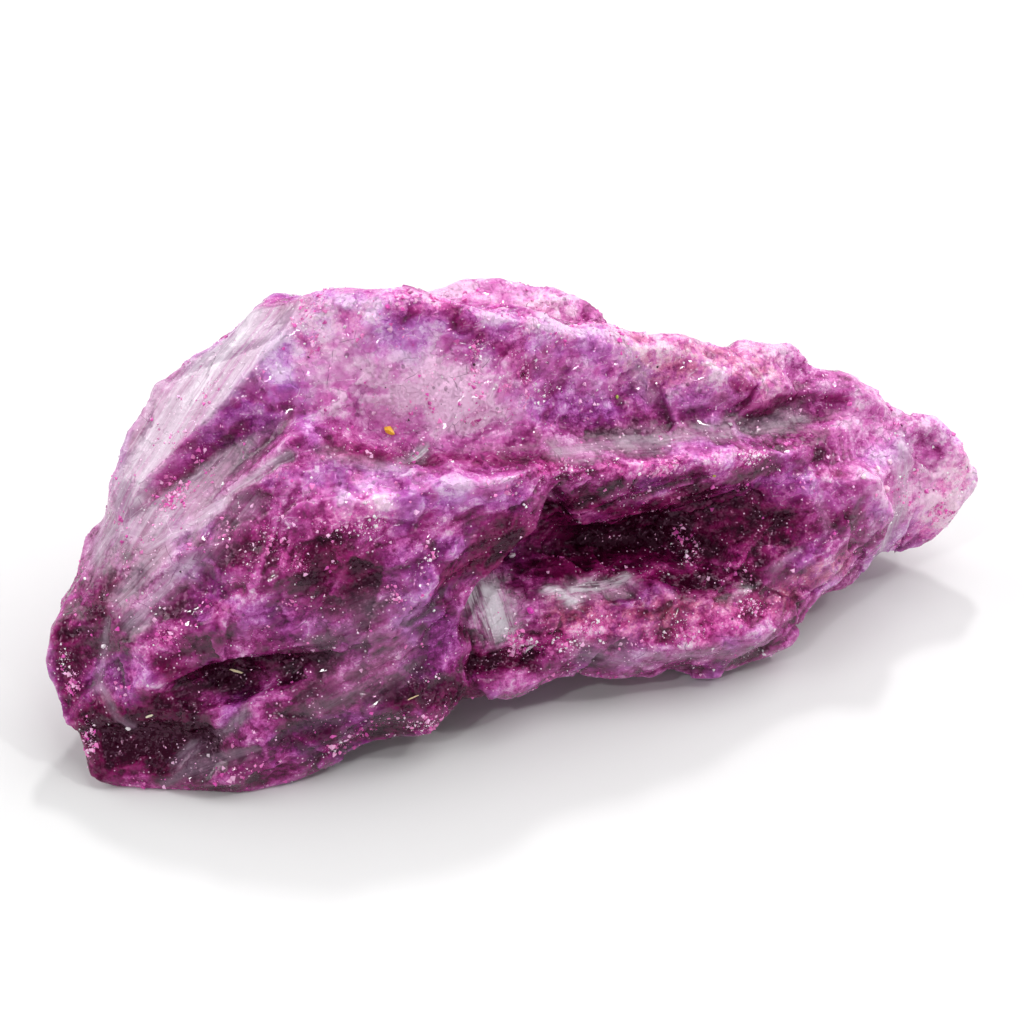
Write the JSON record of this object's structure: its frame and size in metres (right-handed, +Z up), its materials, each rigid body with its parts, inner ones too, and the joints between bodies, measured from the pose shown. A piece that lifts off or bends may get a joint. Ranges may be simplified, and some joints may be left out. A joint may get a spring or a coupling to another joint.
{
  "type": "rough sapphire",
  "caption": "Rough fractured lump of glossy purple sapphire that rests on its flattest side, with a long hollow along its front, ledges and a pointed end.",
  "frame": {"origin": "bottom centre of the stone's box, on the surface it rests on", "axes": "+X along the stone from its blunt end to its pointed end, +Y away from the hollowed front, +Z up"},
  "size_m": [0.0576, 0.0272, 0.0245],
  "materials": {
    "purple_corundum": "glassy broken surface, milky purple and magenta with dark depths, dusted with pale and pink crumbs"
  },
  "bodies": {
    "root": {"rough_sapphire": "purple_corundum"}
  },
  "joints": []
}
